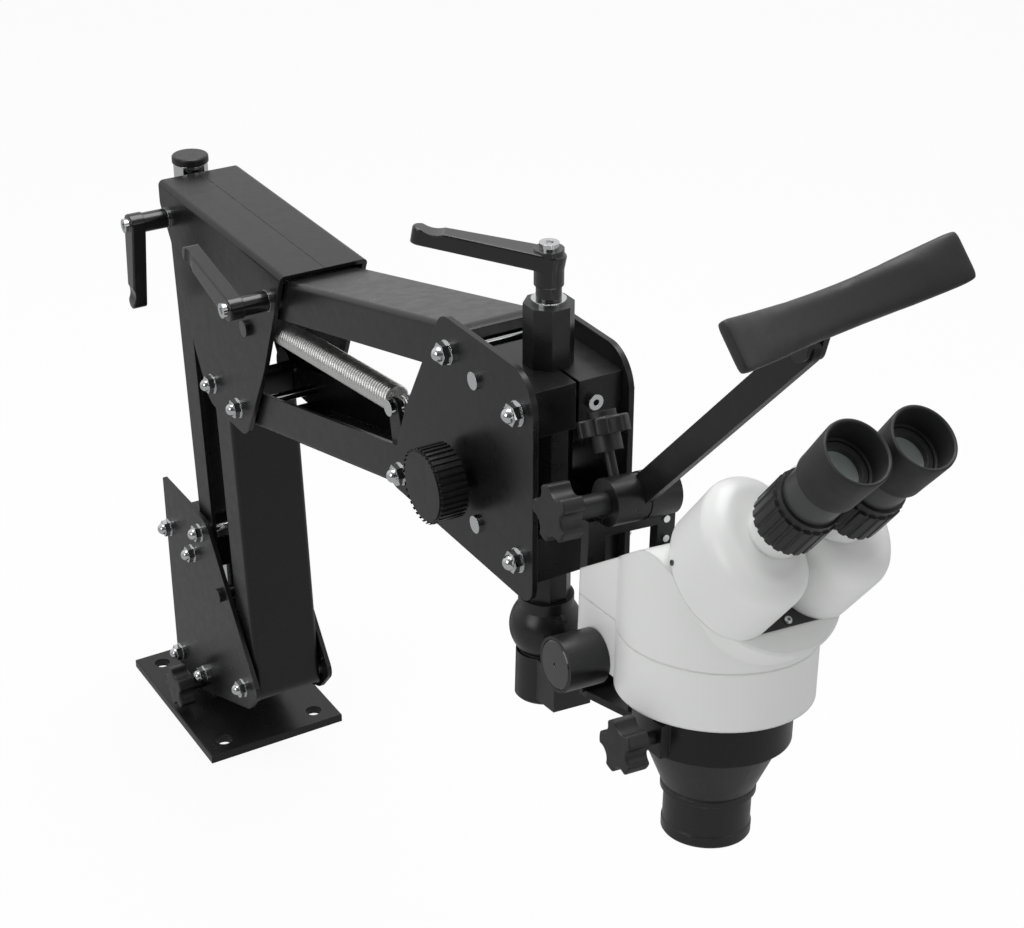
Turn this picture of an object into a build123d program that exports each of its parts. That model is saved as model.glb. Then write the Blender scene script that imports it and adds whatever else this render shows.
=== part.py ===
# Stereo zoom head on a spring-balanced bench arm.
# Millimetres: X forward, Y away from the viewer, Z up, origin at the base plate's bottom centre.
from math import acos, atan2, cos, degrees, hypot, pi, radians, sin, tan
import os

from build123d import *

os.makedirs("parts", exist_ok=True)

# Fits and fasteners
run = 0.05
hole_gap = 0.1
bolt_r = 3.0
washer_r = 6.4
washer_t = 1.2
nut_flats = 10.0
nut_h = 4.0
dome_r = 4.0

# Base plate and column
plate_l = 140.0
plate_w = 100.0
plate_t = 6.0
plate_hole_x = 56.0
plate_hole_y = 34.5
plate_hole_r = 5.5
col_x = -13.0
col_r = 11.0
col_top = 403.5
spigot_r = 7.0
cap_r = 11.75
cap_h = 4.5
stop_r = 18.0
stop_h = 10.0

# Plates on both sides of the arm
side_in = 25.0
side_t = 3.0
side_out = side_in + side_t

# Bracket on the column
low_block_h = 28.0
high_block_z = 120.0
high_block_h = 23.0
pinch_x = 4.0
pinch_z = 24.0
anchor_low_x = 54.3
anchor_low_z = 121.6

# Links
link_cc = 223.0
link_w = 47.0
link_d = 24.0
link_t = 2.5
link_bend = 3.5
low_lean = 3.75
up_rise = 14.2

# Elbow
elbow_top = 400.0
rear_x = 11.0
rear_z = 378.5
front_x = 161.5
front_z = 378.5
a_x = 69.5
b_x = 109.0
ab_z = 286.5
anchor_up_x = 128.9
anchor_up_z = 348.3
lever_hub = 16.0
spring_y = -14.0
spring_r = 8.0
spring_wire = 2.0

# Front bracket and focusing
post_x = 425.5
sleeve_flats = 23.0
sleeve_low = 312.0
sleeve_top = 472.0
rod_r = 5.0
gear_m = 1.5
gear_n = 22
gear_w = 9.0
focus_z = 369.0
rack_h = 66.0
block_x0 = 398.0
block_x1 = 452.0
low_guide_z = 350.0
high_guide_z = 429.0
guide_h = 24.0
knob_r = 19.5
knob_t = 16.0

# Ball joint
ball_z = 293.5
ball_r = 18.8
seat_t = 1.5
neck_r = 14.25
collar_r = 15.0
collar_low = -39.5

# Pose of everything that hangs from the ball
pitch = 5.0
roll = 4.5

# Holder and scope ring, measured from the ball's centre
reach = 142.6
arm_t = 3.6
arm_z = -arm_t
arm_half = 14.0
arm_wide = 22.0
ring_r = 36.5
ring_bore = 33.05
ring_low = 8.0
ring_h = 22.2
thumb_x = 151.0
thumb_z = 17.5

# Headrest
frame_x = 66.5
frame_t = 6.0
frame_half = 24.5
window_half = 14.5
window_top = 79.0
hinge_x = 74.0
hinge_z = 97.0
hinge_r = 11.5
stud_lean = 25.0
rest_angle = 43.0
rest_len = 157.5
rest_bar_h = 14.0
rest_bar_t = 4.0
pad_len = 130.0
pad_h = 25.0
pad_t = 10.0
pad_curve = 150.0
pad_tilt = 35.0
pad_twist = 9.5

# Stereo head
body_low = 30.5
seam_z = 58.5
body_r = 45.5
rear_half = 35.0
rear_wall = 76.5
back_z = 66.0
back_rise = 30.0
wall_t = 3.0
zoom_x = 99.1
zoom_z = 34.5
zoom_end = 57.4
zoom_r = 13.2
zoom_shaft = 2.0
eye_angle = 48.0
prism_x = 174.9
prism_y = 15.9
prism_z = 96.4
prism_r = 37.3
prism_ahead = 5.5
prism_side = 8.1
prism_h = 33.0
prism_top = 40.0
prism_bore = 11.0
prism_corner = 20.0
eye_up = 5.0
eye_out = 0.8
eye_base = 16.6
prism_flat = 14.4
prism_open = 4.0
face_r = 36.2
face_low_r = 32.0
face_depth = 26.0
face_step = 5.0
notch_front = 23.6
notch_half = 17.0
notch_t = 1.5


def bar(x, y0, y1, z, r, mode=Mode.ADD):
    """Round bar along Y from y0 to y1."""
    with Locations(Location((x, (y0 + y1) / 2, z), (90, 0, 0))):
        Cylinder(r, y1 - y0, mode=mode)


def upright(x, y, z0, z1, r, mode=Mode.ADD):
    """Round bar along Z from z0 to z1."""
    with Locations((x, y, (z0 + z1) / 2)):
        Cylinder(r, z1 - z0, mode=mode)


def block(x0, x1, y0, y1, z0, z1, mode=Mode.ADD):
    """Rectangular block between three pairs of limits."""
    with Locations(((x0 + x1) / 2, (y0 + y1) / 2, (z0 + z1) / 2)):
        Box(x1 - x0, y1 - y0, z1 - z0, mode=mode)


def flat(points, radii, y0, y1, mode=Mode.ADD):
    """Plate with rounded corners, lying in XZ between y0 and y1."""
    with BuildSketch(Plane.XZ.offset(-y1)) as face:
        with BuildLine():
            FilletPolyline(*points, radius=radii, close=True)
        make_face()
    extrude(face.sketch, amount=y1 - y0, mode=mode)


def hexagon(x, y0, y1, z, flats, mode=Mode.ADD):
    """Hexagonal prism along Y."""
    with BuildSketch(Plane.XZ.offset(-y1)) as face:
        with Locations((x, z)):
            RegularPolygon(flats / 2, 6, major_radius=False)
    extrude(face.sketch, amount=y1 - y0, mode=mode)


def nut_side(x, z, y):
    """Washer and dome nut outside the near plate."""
    bar(x, y - washer_t, y, z, washer_r)
    hexagon(x, y - washer_t - nut_h, y - washer_t, z, nut_flats)
    with Locations((x, y - washer_t - nut_h, z)):
        Sphere(dome_r)


def head_side(x, z, y):
    """Washer and hexagon head outside the far plate."""
    bar(x, y, y + washer_t, z, washer_r)
    hexagon(x, y + washer_t, y + washer_t + nut_h, z, nut_flats)


def through_bolt(x, z):
    """Bolt across both plates: head on the far side, dome nut on the near side."""
    bar(x, -side_out - washer_t, side_out + washer_t, z, bolt_r)
    nut_side(x, z, -side_out)
    head_side(x, z, side_out)


def pivot_bolt(x, z):
    """Through bolt with the two thin collars that centre a link between the plates."""
    through_bolt(x, z)
    bar(x, link_w / 2, side_in, z, washer_r + 0.6)
    bar(x, -side_in, -link_w / 2, z, washer_r + 0.6)


def channel():
    """U channel along X from the pivot at the origin, web on top, ends rounded about the pivots."""
    with BuildSketch(Plane(origin=(-link_d, 0, 0), x_dir=(0, 1, 0), z_dir=(1, 0, 0))) as profile:
        with Locations((0, -link_d / 2)):
            RectangleRounded(link_w, 2 * link_d, link_bend)
        with Locations((0, -link_d / 2 - link_t)):
            RectangleRounded(
                link_w - 2 * link_t, 2 * link_d, link_bend - link_t, mode=Mode.SUBTRACT
            )
        Rectangle(link_w, link_d, mode=Mode.INTERSECT)
    extrude(profile.sketch, amount=link_cc + 2 * link_d)
    with BuildSketch(Plane.XZ.offset(-link_w)) as ends:
        with Locations((link_cc / 2, 0)):
            SlotCenterToCenter(link_cc, link_d)
    extrude(ends.sketch, amount=2 * link_w, mode=Mode.INTERSECT)
    bar(0, -link_w, link_w, 0, bolt_r + run, mode=Mode.SUBTRACT)
    bar(link_cc, -link_w, link_w, 0, bolt_r + run, mode=Mode.SUBTRACT)


def lobes(count, r, thickness):
    """Grip with rounded lobes and wide flutes on XY, thickness upwards."""
    with BuildSketch() as grip:
        Circle(r)
        with PolarLocations(r * 1.14, count):
            Circle(r * 0.42, mode=Mode.SUBTRACT)
        fillet(grip.vertices(), r * 0.1)
    extrude(grip.sketch, amount=thickness)


def lever(length, root_r, tip_r, thickness):
    """Tapered handle on XY along +X with a thumb hollow near its tip."""
    with BuildSketch() as grip:
        Circle(root_r)
        with Locations((length - tip_r, 0)):
            Circle(tip_r)
        make_hull()
    extrude(grip.sketch, amount=thickness)
    fillet(edges().group_by(Axis.Z)[-1], 1.0)
    with Locations(Location((length - 2.2 * tip_r, 0, thickness + 10.0), (90, 0, 0))):
        Cylinder(11.5, 4 * root_r, mode=Mode.SUBTRACT)


def scope_outline(grow):
    """Plan of the head: round front about the optical axis, narrower box at the rear."""
    half = rear_half + grow
    with BuildSketch() as plan:
        with Locations((reach, 0)):
            Circle(body_r + grow)
        with BuildLine():
            FilletPolyline(
                (rear_wall - grow, -half),
                (reach - 26.0, -half - 1.5),
                (reach, -half - 1.5),
                (reach, half + 1.5),
                (reach - 26.0, half + 1.5),
                (rear_wall - grow, half),
                radius=(9, 0, 0, 0, 0, 9),
                close=True,
            )
        make_face()
    return plan.sketch


def scope_profile(inset):
    """Side view of the head: sloping back, inclined front under the face disc, lower rear chamfer."""
    lean = radians(eye_angle)
    rise = tan(radians(back_rise))
    under = prism_x * cos(lean) + prism_z * sin(lean) - face_step
    back = rear_wall - 3.0
    front = reach + body_r + 6.0
    peak_x = (under - (back_z - rise * back) * sin(lean)) / (cos(lean) + rise * sin(lean))
    with BuildSketch(Plane.XZ.offset(-80)) as side:
        with BuildLine():
            FilletPolyline(
                (back, body_low + 9.0),
                (back, back_z),
                (peak_x, back_z + rise * (peak_x - back)),
                (front, (under - front * cos(lean)) / sin(lean)),
                (front, body_low),
                (rear_wall + 14.0, body_low),
                radius=(0, 6, 14, 9, 0, 0),
                close=True,
            )
        make_face()
        if inset:
            offset(amount=-inset, mode=Mode.REPLACE)
    return side.sketch


# Base plate
with BuildPart() as base_plate:
    with BuildSketch():
        Rectangle(plate_l, plate_w)
        with GridLocations(2 * plate_hole_x, 2 * plate_hole_y, 2, 2):
            Circle(plate_hole_r, mode=Mode.SUBTRACT)
        with Locations((col_x, 0)):
            Circle(spigot_r + run, mode=Mode.SUBTRACT)
    extrude(amount=plate_t)
    chamfer(base_plate.faces().sort_by(Axis.Z)[-1].outer_wire().edges(), 0.5)
base_plate.part.label = "base_plate"
export_step(base_plate.part, "parts/base_plate.step")

# Column with a spigot in the base plate
with BuildPart() as column:
    upright(col_x, 0, plate_t, col_top, col_r)
    chamfer(column.edges().sort_by(Axis.Z)[-1], 0.8)
    upright(col_x, 0, 0.5, plate_t, spigot_r)
column.part.label = "column"
export_step(column.part, "parts/column.step")

# Black cap on the column
with BuildPart() as column_cap:
    upright(col_x, 0, col_top, col_top + cap_h, cap_r)
    fillet(column_cap.edges().sort_by(Axis.Z)[-1], 1.5)
column_cap.part.label = "column_cap"
export_step(column_cap.part, "parts/column_cap.step")

# Support collar that the bracket rests on
with BuildPart() as support_collar:
    upright(col_x, 0, plate_t, plate_t + stop_h, stop_r)
    upright(col_x, 0, 0, plate_t + stop_h + 1, col_r + run, mode=Mode.SUBTRACT)
    with Locations(Location((col_x - 15.0, 0, plate_t + stop_h / 2), (0, 90, 0))):
        Cylinder(2.0, 12.0, mode=Mode.SUBTRACT)
    chamfer(support_collar.edges().filter_by(GeomType.CIRCLE).group_by(SortBy.RADIUS)[-1], 0.8)
support_collar.part.label = "support_collar"
export_step(support_collar.part, "parts/support_collar.step")

# Pivots of the lower arm on the bracket
low_dx = link_cc * sin(radians(low_lean))
low_dz = link_cc * cos(radians(low_lean))
u_x = rear_x + low_dx
u_z = rear_z - low_dz
l_x = a_x + low_dx
l_z = ab_z - low_dz
bracket_bolts = ((-32.0, 131.6), (9.4, 131.6), (-30.0, 29.0), (13.0, 34.0))

# Side plates of the bracket, one on each side of the column
with BuildPart() as bracket_plates:
    outline = ((-38.5, 17), (-38.5, 168.5), (36, 168.5), (107, 69), (90, 49.7), (8, 17))
    for y in (-side_out, side_in):
        flat(outline, (1, 1, 14, 9, 9, 3), y, y + side_t)
    for x, z in bracket_bolts + ((u_x, u_z), (l_x, l_z), (anchor_low_x, anchor_low_z)):
        bar(x, -side_out - 1, side_out + 1, z, bolt_r + hole_gap, mode=Mode.SUBTRACT)
    bar(pinch_x, -side_out - 1, side_out + 1, pinch_z, bolt_r + hole_gap, mode=Mode.SUBTRACT)
bracket_plates.part.label = "bracket_plates"
export_step(bracket_plates.part, "parts/bracket_plates.step")

# Blocks between the side plates: upper guide, lower split clamp, and the black spring anchor
with BuildPart() as bracket_blocks:
    low_z = plate_t + stop_h
    block(-38, 17, -side_in, side_in, high_block_z, high_block_z + high_block_h)
    block(-37, 19, -side_in, side_in, low_z, low_z + low_block_h)
    upright(col_x, 0, 0, 160, col_r + run, mode=Mode.SUBTRACT)
    block(col_x, 20, -0.9, 0.9, 0, 60, mode=Mode.SUBTRACT)
    for x, z in bracket_bolts:
        bar(x, -side_in - 1, side_in + 1, z, bolt_r + hole_gap, mode=Mode.SUBTRACT)
    bar(pinch_x, -side_in - 1, side_in + 1, pinch_z, bolt_r + run, mode=Mode.SUBTRACT)
    bar(anchor_low_x, -side_out - 3, side_out + 3, anchor_low_z, bolt_r)
    bar(anchor_low_x, -side_in, side_in, anchor_low_z, 5.0)
    bar(anchor_low_x, -side_out - 3, -side_out, anchor_low_z, 4.8)
    bar(anchor_low_x, side_out, side_out + 3, anchor_low_z, 4.8)
bracket_blocks.part.label = "bracket_blocks"
export_step(bracket_blocks.part, "parts/bracket_blocks.step")

# Bolts, washers and dome nuts of the bracket; the last two carry the lower links
with BuildPart() as bracket_bolts_set:
    for x, z in bracket_bolts:
        through_bolt(x, z)
    for x, z in ((u_x, u_z), (l_x, l_z)):
        pivot_bolt(x, z)
bracket_bolts_set.part.label = "bracket_bolts"
export_step(bracket_bolts_set.part, "parts/bracket_bolts.step")

# Lobed lock knob with its pinch screw, axis along Y
with BuildPart() as lock_knob:
    lobes(5, 15.0, 11.0)
    fillet(lock_knob.edges().group_by(Axis.Z)[-1], 1.2)
    upright(0, 0, -10.5, 0, 5.5)
    upright(0, 0, -70.0, -10.5, bolt_r)
lock_knob.part.locate(Location((pinch_x, -side_out - 10.5, pinch_z), (90, 0, 0)))
lock_knob.part.label = "lock_knob"
export_step(lock_knob.part, "parts/lock_knob.step")

# Front link of the lower arm, web forward
with BuildPart() as lower_front_link:
    channel()
lower_front_link.part.locate(Location((a_x, 0, ab_z), (0, 90 - low_lean, 0)))
lower_front_link.part.label = "lower_front_link"
export_step(lower_front_link.part, "parts/lower_front_link.step")

# Rear link of the lower arm, web to the rear, with a cross pin for the lower spring
with BuildPart() as lower_rear_link:
    channel()
    bar(165.0, -link_w / 2 + 1, link_w / 2 - 1, -4.0, 2.5)
lower_rear_link.part.locate(Location((u_x, 0, u_z), (0, -90 - low_lean, 0)))
lower_rear_link.part.label = "lower_rear_link"
export_step(lower_rear_link.part, "parts/lower_rear_link.step")

# Bent cover plates of the elbow, near and far, with a seam between them
elbow_outline = (
    (0.5, elbow_top),
    (0.5, 385),
    (19.5, 356),
    (42, 300),
    (61, 269.5),
    (117, 269.5),
    (150, 328),
    (181, elbow_top),
)
elbow_radii = (0, 6, 30, 24, 14, 14, 40, 0)
elbow_holes = ((rear_x, rear_z), (front_x, front_z), (a_x, ab_z), (b_x, ab_z))

with BuildPart() as elbow_covers:
    flat(elbow_outline, elbow_radii, -side_out, -0.15)
    flat(elbow_outline, elbow_radii, 0.15, side_out)
    block(-5, 190, -side_in, side_in, 200, elbow_top - side_t, mode=Mode.SUBTRACT)
    top_edges = elbow_covers.edges().filter_by(Axis.X).group_by(Axis.Z)[-1].sort_by(Axis.Y)
    fillet((top_edges[0], top_edges[-1]), 3.5)
    for x, z in elbow_holes:
        bar(x, -side_out - 1, side_out + 1, z, bolt_r + hole_gap, mode=Mode.SUBTRACT)
    bar(anchor_up_x, -side_out - 1, 0, anchor_up_z, bolt_r + hole_gap, mode=Mode.SUBTRACT)
elbow_covers.part.label = "elbow_covers"
export_step(elbow_covers.part, "parts/elbow_covers.step")

# Pivot bolts of the elbow; the upper two run through the clamp levers to their chrome heads
hub_face = -side_out - washer_t
lever_end = hub_face - lever_hub - 9.0
with BuildPart() as elbow_bolts:
    for x in (a_x, b_x):
        pivot_bolt(x, ab_z)
    for x, z in ((rear_x, rear_z), (front_x, front_z)):
        bar(x, lever_end + 1.0, side_out + washer_t, z, bolt_r)
        bar(x, lever_end - 3.0, lever_end, z, 4.5)
        hexagon(x, lever_end - 4.0, lever_end - 1.5, z, 4.0, mode=Mode.SUBTRACT)
        bar(x, hub_face, -side_out, z, washer_r)
        head_side(x, z, side_out)
        bar(x, link_w / 2, side_in, z, washer_r + 0.6)
        bar(x, -side_in, -link_w / 2, z, washer_r + 0.6)
elbow_bolts.part.label = "elbow_bolts"
export_step(elbow_bolts.part, "parts/elbow_bolts.step")

# Screw in the near elbow plate that holds the rear hook of the upper spring
with BuildPart() as upper_anchor:
    bar(anchor_up_x, -side_out - 3, -side_out, anchor_up_z, 5.0)
    bar(anchor_up_x, -side_out, -8, anchor_up_z, bolt_r)
    bar(anchor_up_x, -9.5, -7, anchor_up_z, 4.5)
upper_anchor.part.label = "upper_anchor"
export_step(upper_anchor.part, "parts/upper_anchor.step")

# Clamp levers on the elbow: hub along the pivot, handle square to it
with BuildPart() as rear_lever:
    lever(60.0, 7.0, 4.6, 9.0)
    upright(0, 0, -lever_hub, 0, 6.2)
    upright(0, 0, -lever_hub - 1, 10.0, bolt_r + run, mode=Mode.SUBTRACT)
rear_lever.part.locate(Location((rear_x, hub_face - lever_hub, rear_z), (90, 0, -97)))
rear_lever.part.label = "rear_lever"
export_step(rear_lever.part, "parts/rear_lever.step")

with BuildPart() as front_lever:
    lever(64.0, 7.0, 4.6, 9.0)
    upright(0, 0, -lever_hub, 0, 6.2)
    upright(0, 0, -lever_hub - 1, 10.0, bolt_r + run, mode=Mode.SUBTRACT)
front_lever.part.locate(Location((front_x, hub_face - lever_hub, front_z), (90, 0, 167)))
front_lever.part.label = "front_lever"
export_step(front_lever.part, "parts/front_lever.step")

# Upper arm's far pivots
up_dx = link_cc * cos(radians(up_rise))
up_dz = link_cc * sin(radians(up_rise))
nut_x = front_x + up_dx
nut_z = front_z + up_dz
low_nut_x = b_x + up_dx
low_nut_z = ab_z + up_dz

# Top link of the upper arm, web on top
with BuildPart() as top_link:
    channel()
top_link.part.locate(Location((front_x, 0, front_z), (0, -up_rise, 0)))
top_link.part.label = "top_link"
export_step(top_link.part, "parts/top_link.step")

# Bottom link, open side up, with the lug that pulls on the upper spring
lug_along = 14.7
lug_up = 32.4
with BuildPart() as bottom_link:
    channel()
    flat(
        ((lug_along - 9, 8), (lug_along + 9, 8), (lug_along + 5, -lug_up - 5), (lug_along - 5, -lug_up - 5)),
        (0, 0, 4, 4),
        -link_w / 2 + link_t,
        -link_w / 2 + 2 * link_t,
    )
    bar(lug_along, -link_w, 0, -lug_up, bolt_r + hole_gap, mode=Mode.SUBTRACT)
bottom_link.part.locate(Location((low_nut_x, 0, low_nut_z), (0, 180 - up_rise, 0)))
bottom_link.part.label = "bottom_link"
export_step(bottom_link.part, "parts/bottom_link.step")

# Chrome bolt and nut in the lug, for the front hook of the upper spring
lug_face = -link_w / 2 + link_t
with BuildPart() as spring_bolt:
    bar(lug_along, lug_face, -9.0, -lug_up, bolt_r)
    bar(lug_along, lug_face - 3.2, lug_face, -lug_up, 4.6)
    hexagon(lug_along, -11.0, -8.0, -lug_up, 8.0)
spring_bolt.part.locate(Location((low_nut_x, 0, low_nut_z), (0, 180 - up_rise, 0)))
spring_bolt.part.label = "spring_bolt"
export_step(spring_bolt.part, "parts/spring_bolt.step")


def coil(length, rear_eye, front_eye, rear_gap, front_gap):
    """Close-wound spring along X as a plain sleeve, with an eye round the pin at each end."""
    with Locations(Location(((length + rear_gap - front_gap) / 2, 0, 0), (0, 90, 0))):
        Cylinder(spring_r, length - rear_gap - front_gap)
        Cylinder(spring_r - spring_wire, length, mode=Mode.SUBTRACT)
    for x, eye, near, far in (
        (0, rear_eye, rear_eye + 1, rear_gap + 1),
        (length, front_eye, length - front_gap - 1, length - front_eye - 1),
    ):
        with Locations((x, 0, 0)):
            with Locations(Location((0, 0, 0), (90, 0, 0))):
                Cylinder(eye + spring_wire + 0.15, spring_wire)
                Cylinder(eye + 0.15, spring_wire + 1, mode=Mode.SUBTRACT)
        block(near, far, -spring_wire / 2, spring_wire / 2, -spring_wire / 2, spring_wire / 2)
        side = far if x == 0 else near
        block(side - 1.2, side, -1, 1, -spring_r + 0.3, spring_r - 0.3)


# Upper balance spring, from the elbow screw to the lug of the bottom link
lean = radians(up_rise)
hook_x = low_nut_x - lug_along * cos(lean) - lug_up * sin(lean)
hook_z = low_nut_z - lug_along * sin(lean) + lug_up * cos(lean)
up_len = hypot(hook_x - anchor_up_x, hook_z - anchor_up_z)
up_turn = degrees(atan2(hook_z - anchor_up_z, hook_x - anchor_up_x))
with BuildPart() as upper_spring:
    coil(up_len, bolt_r, bolt_r, 11.0, 8.0)
upper_spring.part.locate(Location((anchor_up_x, spring_y, anchor_up_z), (0, -up_turn, 0)))
upper_spring.part.label = "upper_spring"
export_step(upper_spring.part, "parts/upper_spring.step")

# Lower balance spring, from the bracket's anchor to the cross pin of the rear link
tilt_low = radians(low_lean)
pin_low_x = u_x - 165.0 * sin(tilt_low) + 4.0 * cos(tilt_low)
pin_low_z = u_z + 165.0 * cos(tilt_low) + 4.0 * sin(tilt_low)
low_len = hypot(pin_low_x - anchor_low_x, pin_low_z - anchor_low_z)
low_turn = degrees(atan2(pin_low_z - anchor_low_z, pin_low_x - anchor_low_x))
with BuildPart() as lower_spring:
    coil(low_len, 5.0, 2.5, 14.0, 10.0)
lower_spring.part.locate(Location((anchor_low_x, 0, anchor_low_z), (0, -low_turn, 0)))
lower_spring.part.label = "lower_spring"
export_step(lower_spring.part, "parts/lower_spring.step")

# Side plates of the front bracket
front_holes = (
    (nut_x, nut_z),
    (low_nut_x, low_nut_z),
    (445.0, high_guide_z),
    (446.0, low_guide_z),
    (404.5, high_guide_z),
    (405.5, low_guide_z),
)
rack_x = post_x - sleeve_flats / 2 - 9.0
pinion_x = rack_x - gear_m * gear_n / 2
with BuildPart() as front_plates:
    outline = ((310, 331), (331, 383), (370, 451), (458, 451), (458, 329), (318, 329))
    for y in (-side_out, side_in):
        flat(outline, (3, 40, 12, 20, 10, 3), y, y + side_t)
    for x, z in front_holes:
        bar(x, -side_out - 1, side_out + 1, z, bolt_r + hole_gap, mode=Mode.SUBTRACT)
    bar(pinion_x, -side_out - 1, side_out + 1, focus_z, 4.0 + run, mode=Mode.SUBTRACT)
front_plates.part.label = "front_plates"
export_step(front_plates.part, "parts/front_plates.step")

# Guide blocks with an eight-sided bore; the lower one is open behind for the rack, the upper one split
with BuildPart() as guide_blocks:
    for z in (low_guide_z, high_guide_z):
        block(block_x0, block_x1, -side_in, side_in, z - guide_h / 2, z + guide_h / 2)
    with BuildSketch(Plane.XY.offset(330)) as bore:
        with Locations((post_x, 0)):
            RegularPolygon(sleeve_flats / 2 + run, 8, major_radius=False, rotation=22.5)
    extrude(bore.sketch, amount=130, mode=Mode.SUBTRACT)
    block(block_x0 - 1, post_x, -6.0, 6.0, 330, 400, mode=Mode.SUBTRACT)
    block(post_x, block_x1 + 1, -0.9, 0.9, 400, 460, mode=Mode.SUBTRACT)
    for x, z in front_holes[2:4]:
        bar(x, -side_in - 1, side_in + 1, z, bolt_r + hole_gap, mode=Mode.SUBTRACT)
    for x, z in front_holes[4:]:
        for y in (-side_in, side_in - 10.0):
            bar(x, y, y + 10.0, z, bolt_r + hole_gap, mode=Mode.SUBTRACT)
guide_blocks.part.label = "guide_blocks"
export_step(guide_blocks.part, "parts/guide_blocks.step")

# Fasteners of the front bracket: two link pivots, two block bolts, four low screws, slit screw
with BuildPart() as front_bolts:
    for x, z in front_holes[:2]:
        pivot_bolt(x, z)
    for x, z in front_holes[2:4]:
        through_bolt(x, z)
    for x, z in front_holes[4:]:
        for side in (-1, 1):
            with Locations(Location((x, side * (side_out + 1.0), z), (90, 0, 0))):
                Cylinder(4.6, 2.0)
            with Locations(Location((x, side * (side_out - 5.5), z), (90, 0, 0))):
                Cylinder(bolt_r, 11.0)
    with Locations(Location((block_x1 + 1.2, 9.0, high_guide_z), (0, 90, 0))):
        Cylinder(4.0, 2.4)
        Cylinder(1.6, 3.0, mode=Mode.SUBTRACT)
front_bolts.part.label = "front_bolts"
export_step(front_bolts.part, "parts/front_bolts.step")

# Eight-sided focusing sleeve
with BuildPart() as sleeve:
    with BuildSketch(Plane.XY.offset(sleeve_low)):
        with Locations((post_x, 0)):
            RegularPolygon(sleeve_flats / 2, 8, major_radius=False, rotation=22.5)
    extrude(amount=sleeve_top - sleeve_low)
    upright(post_x, 0, sleeve_low - 1, sleeve_top + 1, rod_r + run, mode=Mode.SUBTRACT)
sleeve.part.label = "sleeve"
export_step(sleeve.part, "parts/sleeve.step")

# Rack on the back of the sleeve
addendum = 0.9 * gear_m
dedendum = 1.2 * gear_m
backlash = 0.12
pitch_step = pi * gear_m
rack_tooth = pitch_step / 2 - backlash
flank = tan(radians(20))
with BuildPart() as rack:
    rack_low = focus_z - rack_h / 2
    block(
        rack_x + dedendum, post_x - sleeve_flats / 2, -gear_w / 2, gear_w / 2, rack_low, rack_low + rack_h
    )
    for i in range(-6, 7):
        z = focus_z + i * pitch_step
        tip = rack_tooth / 2 - addendum * flank
        root = rack_tooth / 2 + dedendum * flank
        flat(
            (
                (rack_x - addendum, z - tip),
                (rack_x - addendum, z + tip),
                (rack_x + dedendum + 0.2, z + root),
                (rack_x + dedendum + 0.2, z - root),
            ),
            0,
            -gear_w / 2,
            gear_w / 2,
        )
rack.part.label = "rack"
export_step(rack.part, "parts/rack.step")

# Pinion and its shaft; a tooth gap faces the middle rack tooth at rest
pitch_r = gear_m * gear_n / 2
base_r = pitch_r * cos(radians(20))
half_tooth = (pi / 2 - backlash / gear_m) / gear_n


def tooth_half(r):
    """Half angle of a pinion tooth at radius r, involute above the base circle."""
    angle = acos(min(1.0, base_r / r))
    return half_tooth + (tan(radians(20)) - radians(20)) - (tan(angle) - angle)


gear_points = []
tooth_radii = [pitch_r - dedendum] + [base_r + (pitch_r + addendum - base_r) * k / 3 for k in range(4)]
for i in range(gear_n):
    middle = 2 * pi * (i + 0.5) / gear_n
    for r in tooth_radii:
        angle = middle - tooth_half(r)
        gear_points.append((r * cos(angle), r * sin(angle)))
    for r in reversed(tooth_radii):
        angle = middle + tooth_half(r)
        gear_points.append((r * cos(angle), r * sin(angle)))

with BuildPart() as pinion:
    with BuildSketch(Plane.XZ.offset(-gear_w / 2)) as gear:
        with BuildLine():
            Polyline(*gear_points, close=True)
        make_face()
    extrude(amount=gear_w)
    bar(0, -side_out - 4, side_out + 2.5, 0, 4.0)
    bar(0, side_out, side_out + 2.5, 0, 6.5)
pinion.part.locate(Location((pinion_x, 0, focus_z)))
pinion.part.label = "pinion"
export_step(pinion.part, "parts/pinion.step")

# Ribbed focus knob on the near end of the pinion shaft
with BuildPart() as focus_knob:
    with BuildSketch() as ribs:
        Circle(knob_r - 0.9)
        with PolarLocations(knob_r - 0.9, 36):
            Rectangle(1.8, 1.7)
    extrude(amount=knob_t)
    upright(0, 0, knob_t - 1.0, knob_t + 1.0, knob_r, mode=Mode.SUBTRACT)
    upright(0, 0, knob_t - 1.0, knob_t, knob_r - 1.6)
    upright(0, 0, -6.0, 0, 7.0)
    upright(0, 0, -7.0, -2.0, 4.0, mode=Mode.SUBTRACT)
focus_knob.part.locate(Location((pinion_x, -side_out - 6.0, focus_z), (90, 0, 0)))
focus_knob.part.label = "focus_knob"
export_step(focus_knob.part, "parts/focus_knob.step")

# Chrome washer on the sleeve
with BuildPart() as sleeve_washer:
    upright(post_x, 0, sleeve_top, sleeve_top + 2.0, 8.5)
    upright(post_x, 0, sleeve_top - 1, sleeve_top + 3.0, rod_r + run, mode=Mode.SUBTRACT)
sleeve_washer.part.label = "sleeve_washer"
export_step(sleeve_washer.part, "parts/sleeve_washer.step")

# Post: ball, neck against the sleeve, and the draw rod through the sleeve
with BuildPart() as ball_post:
    with Locations((post_x, 0, ball_z)):
        Sphere(ball_r)
    upright(post_x, 0, sleeve_low - 10.0, sleeve_low, neck_r)
    upright(post_x, 0, sleeve_low, sleeve_top + 18.0, rod_r)
ball_post.part.label = "ball_post"
export_step(ball_post.part, "parts/ball_post.step")

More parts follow.
